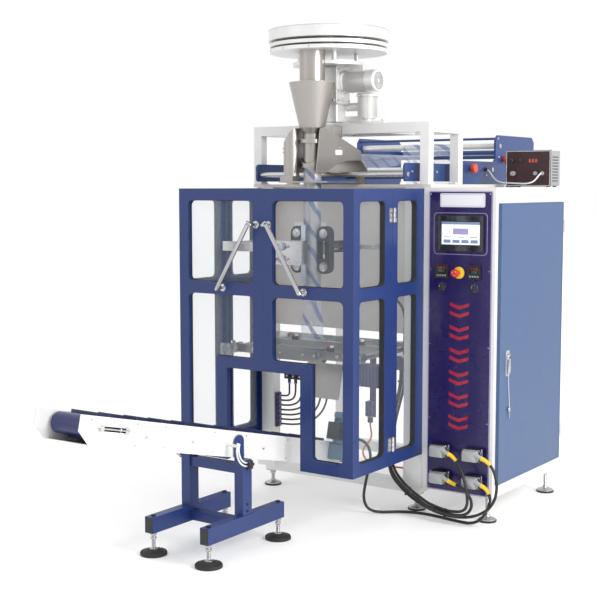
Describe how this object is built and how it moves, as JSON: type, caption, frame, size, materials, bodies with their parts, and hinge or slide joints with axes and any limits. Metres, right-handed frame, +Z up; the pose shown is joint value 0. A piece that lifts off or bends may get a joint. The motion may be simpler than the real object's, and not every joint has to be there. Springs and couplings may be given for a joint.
{
  "type": "vertical form fill sealer",
  "caption": "Vertical form fill sealing machine: glazed guard cage with doors, cup filler and film unit on top, control cabinet at the side, sloping take-away conveyor in front.",
  "frame": {"origin": "middle of the bounding box's base, on the floor", "axes": "+Z up, -Y towards the conveyor's free end and the operator's side, +X towards the control cabinet"},
  "size_m": [1.5434, 3.4968, 2.5],
  "materials": {
    "white_paint": "semi-gloss powder coat",
    "beige_paint": "satin paint",
    "guard_blue": "semi-gloss powder coat",
    "cabinet_blue": "semi-gloss powder coat",
    "film_unit_blue": "semi-gloss powder coat",
    "purple_panel": "gloss overlay",
    "label_white": "gloss label film",
    "black_plastic": "matt moulded",
    "screen": "lit display",
    "connector_grey": "die-cast look, satin",
    "clear_pane": "clear polycarbonate",
    "stainless": "brushed",
    "machined_steel": "ground and plated",
    "cast_alloy": "machined and painted silver",
    "film": "thin clear printed film",
    "reel_film": "wound film",
    "foot_steel": "plated stems, dark pads",
    "handle_chrome": "polished",
    "red_button": "gloss",
    "knob_red": "gloss",
    "jaw_dark": "blackened",
    "sealer_steel": "ground",
    "belt_black": "matt rubber",
    "belt_blue": "smooth belt cover",
    "motor_grey": "hammered enamel",
    "valve_violet": "satin",
    "cable_black": "matt sheath",
    "hose_grey": "satin hose",
    "lead_white": "satin sheath",
    "case_grey": "satin paint"
  },
  "bodies": {
    "machine": {"base_frame": "white_paint", "levelling_feet": "foot_steel", "top_deck": "beige_paint", "back_panel": "beige_paint", "cabinet_shell": "white_paint", "front_panel": "purple_panel", "panel_labels": "label_white", "operator_displays": "black_plastic", "hmi_screen": "screen", "connectors": "connector_grey", "guard_sides": "guard_blue", "guard_side_panes": "clear_pane", "filler_stand": "white_paint", "filler_carrier": "cast_alloy", "filler_drive": "cast_alloy", "product_funnel": "stainless", "forming_tube": "stainless", "forming_shoulder": "stainless", "film_side_plates": "film_unit_blue", "printer_box": "case_grey", "film_web": "film", "film_tube": "film", "sealing_frame": "machined_steel", "bag_chute": "stainless", "pneumatics": "valve_violet", "air_hoses": "hose_grey", "conveyor_stand": "guard_blue", "connector_cables": "cable_black", "printer_lead": "lead_white"},
    "left_door": {"guard_door_left": "guard_blue", "door_panes_left": "clear_pane", "door_handle_left": "handle_chrome"},
    "right_door": {"guard_door_right": "guard_blue", "door_panes_right": "clear_pane", "door_handle_right": "handle_chrome"},
    "side_door": {"cabinet_door": "cabinet_blue", "key_cord": "lead_white"},
    "lock_handle": {"cabinet_handle": "handle_chrome"},
    "estop": {"estop_button": "red_button"},
    "left_selector": {"knob_left": "black_plastic"},
    "right_selector": {"knob_right": "black_plastic"},
    "jaw_front": {"front_jaw": "jaw_dark"},
    "jaw_rear": {"rear_jaw": "jaw_dark"},
    "sealer": {"seal_bar": "sealer_steel"},
    "pull_left": {"pull_unit_left": "belt_black"},
    "pull_right": {"pull_unit_right": "belt_black"},
    "turret": {"dosing_turret": "cast_alloy"},
    "conveyor": {"conveyor_plates": "white_paint", "conveyor_bed": "cast_alloy", "conveyor_arcs": "white_paint", "conveyor_belt": "belt_blue", "conveyor_motor": "motor_grey"},
    "head_drum": {"head_roller": "machined_steel"},
    "tail_drum": {"tail_roller": "machined_steel"},
    "roller_low": {"film_roller_low": "cast_alloy"},
    "roller_high": {"film_roller_high": "cast_alloy"},
    "roller_shoulder": {"shoulder_roller": "machined_steel"},
    "reel": {"film_reel": "reel_film"},
    "knob_front": {"adjust_knob_front": "knob_red"},
    "knob_rear": {"adjust_knob_rear": "knob_red"}
  },
  "joints": [
    {"name": "right_door_hinge", "type": "hinge", "parent": "machine", "child": "right_door", "pos_m": [0.33275, -0.02062, 1], "axis": [0, 0, 1], "range_deg": [0, 95]},
    {"name": "left_door_hinge", "type": "hinge", "parent": "machine", "child": "left_door", "pos_m": [-0.74125, -0.02062, 1], "axis": [0, 0, -1], "range_deg": [0, 95]},
    {"name": "side_door_hinge", "type": "hinge", "parent": "machine", "child": "side_door", "pos_m": [0.73575, 1.09738, 0.9], "axis": [0, 0, 1], "range_deg": [0, 110]},
    {"name": "lock_handle_turn", "type": "hinge", "parent": "side_door", "child": "lock_handle", "pos_m": [0.73075, 0.40838, 0.845], "axis": [1, 0, 0], "range_deg": [0, 90]},
    {"name": "estop_press", "type": "slide", "parent": "machine", "child": "estop", "axis": [0, 1, 0], "range_m": [0, 0.005], "stiffness_N_per_m": 2500},
    {"name": "left_selector_turn", "type": "hinge", "parent": "machine", "child": "left_selector", "pos_m": [0.43375, 0.27838, 1.192], "axis": [0, 1, 0], "range_deg": [-45, 45]},
    {"name": "right_selector_turn", "type": "hinge", "parent": "machine", "child": "right_selector", "pos_m": [0.61375, 0.27838, 1.192], "axis": [0, 1, 0], "range_deg": [-45, 45]},
    {"name": "jaw_front_slide", "type": "slide", "parent": "machine", "child": "jaw_front", "axis": [0, 1, 0], "range_m": [0, 0.103]},
    {"name": "jaw_rear_slide", "type": "slide", "parent": "machine", "child": "jaw_rear", "axis": [0, -1, 0], "range_m": [0, 0.103]},
    {"name": "sealer_slide", "type": "slide", "parent": "machine", "child": "sealer", "axis": [0, 1, 0], "range_m": [0, 0.018]},
    {"name": "pull_right_slide", "type": "slide", "parent": "machine", "child": "pull_right", "axis": [1, 0, 0], "range_m": [0, 0.012]},
    {"name": "pull_left_slide", "type": "slide", "parent": "machine", "child": "pull_left", "axis": [-1, 0, 0], "range_m": [0, 0.012]},
    {"name": "turret_spin", "type": "hinge", "parent": "machine", "child": "turret", "pos_m": [-0.22425, 0.23838, 2.42], "axis": [0, 0, 1], "continuous": true},
    {"name": "conveyor_tilt", "type": "hinge", "parent": "machine", "child": "conveyor", "pos_m": [-0.20425, -0.73962, 0.501], "axis": [1, 0, 0], "range_deg": [-3, 3]},
    {"name": "tail_drum_spin", "type": "hinge", "parent": "conveyor", "child": "tail_drum", "pos_m": [-0.20425, 0.06223, 0.32848], "axis": [1, 0, 0], "continuous": true},
    {"name": "head_drum_spin", "type": "hinge", "parent": "conveyor", "child": "head_drum", "pos_m": [-0.20425, -1.62553, 0.73056], "axis": [1, 0, 0], "continuous": true},
    {"name": "roller_low_spin", "type": "hinge", "parent": "machine", "child": "roller_low", "pos_m": [-0.20425, 1.18838, 1.79], "axis": [1, 0, 0], "continuous": true},
    {"name": "roller_high_spin", "type": "hinge", "parent": "machine", "child": "roller_high", "pos_m": [-0.20425, 1.28338, 1.925], "axis": [1, 0, 0], "continuous": true},
    {"name": "roller_shoulder_spin", "type": "hinge", "parent": "machine", "child": "roller_shoulder", "pos_m": [-0.20425, 0.22838, 1.757], "axis": [1, 0, 0], "continuous": true},
    {"name": "reel_spin", "type": "hinge", "parent": "machine", "child": "reel", "pos_m": [-0.20425, 1.46838, 1.24], "axis": [1, 0, 0], "continuous": true},
    {"name": "knob_front_turn", "type": "hinge", "parent": "machine", "child": "knob_front", "pos_m": [0.28575, 0.91838, 1.793], "axis": [1, 0, 0], "continuous": true},
    {"name": "knob_rear_turn", "type": "hinge", "parent": "machine", "child": "knob_rear", "pos_m": [0.28575, 1.32838, 1.85], "axis": [1, 0, 0], "continuous": true}
  ],
  "couplings": [
    {"joint": "jaw_rear_slide", "follows": "jaw_front_slide", "ratio": 1},
    {"joint": "pull_left_slide", "follows": "pull_right_slide", "ratio": 1},
    {"joint": "head_drum_spin", "follows": "tail_drum_spin", "ratio": 1}
  ]
}
